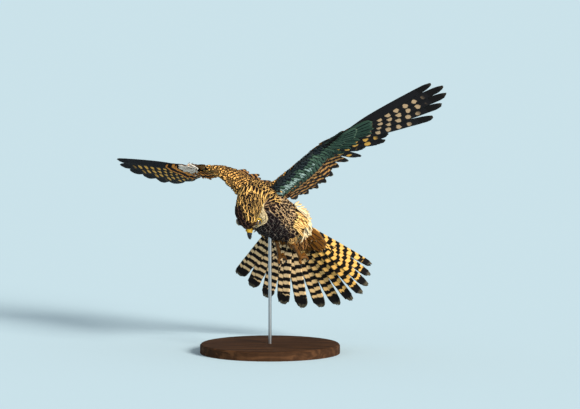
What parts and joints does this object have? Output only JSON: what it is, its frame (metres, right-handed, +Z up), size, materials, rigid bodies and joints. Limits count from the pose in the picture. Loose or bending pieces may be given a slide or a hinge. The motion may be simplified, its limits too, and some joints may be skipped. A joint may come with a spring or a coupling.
{
  "type": "bird of prey model",
  "caption": "Life-size female common kestrel hovering with fanned tail and head bent down, held by a rod on a round base.",
  "frame": {"origin": "centre of the underside of the stand's round base", "axes": "+Z up; the bird faces mostly towards -Y and a little towards -X, its left wing is on the +X side"},
  "size_m": [0.4971, 0.4275, 0.4159],
  "materials": {
    "plumage": "soft, barred feathers",
    "flight_feathers": "stiff, barred feathers",
    "tail_feathers": "stiff, barred feathers",
    "cere": "satin",
    "bill": "glossy horn",
    "eye": "wet gloss",
    "leg_skin": "scaly, satin",
    "claw": "glossy horn",
    "stand_base": "satin lacquer",
    "stand_rod": "brushed"
  },
  "bodies": {
    "root": {"trunk": "plumage", "neck": "plumage", "head": "plumage", "cere": "cere", "bill_upper": "bill", "bill_lower": "bill", "eye_left": "eye", "eye_right": "eye", "wing_left_hand": "flight_feathers", "wing_left_forearm": "flight_feathers", "wing_left_upper_arm": "plumage", "wing_right_hand": "flight_feathers", "wing_right_forearm": "flight_feathers", "wing_right_upper_arm": "plumage", "tail": "tail_feathers", "thigh_left": "plumage", "leg_left": "leg_skin", "foot_left": "leg_skin", "claw_left_1_hind": "claw", "claw_left_2_inner": "claw", "claw_left_3_middle": "claw", "claw_left_4_outer": "claw", "thigh_right": "plumage", "leg_right": "leg_skin", "foot_right": "leg_skin", "claw_right_1_hind": "claw", "claw_right_2_inner": "claw", "claw_right_3_middle": "claw", "claw_right_4_outer": "claw", "stand_base": "stand_base", "stand_rod": "stand_rod"}
  },
  "joints": []
}
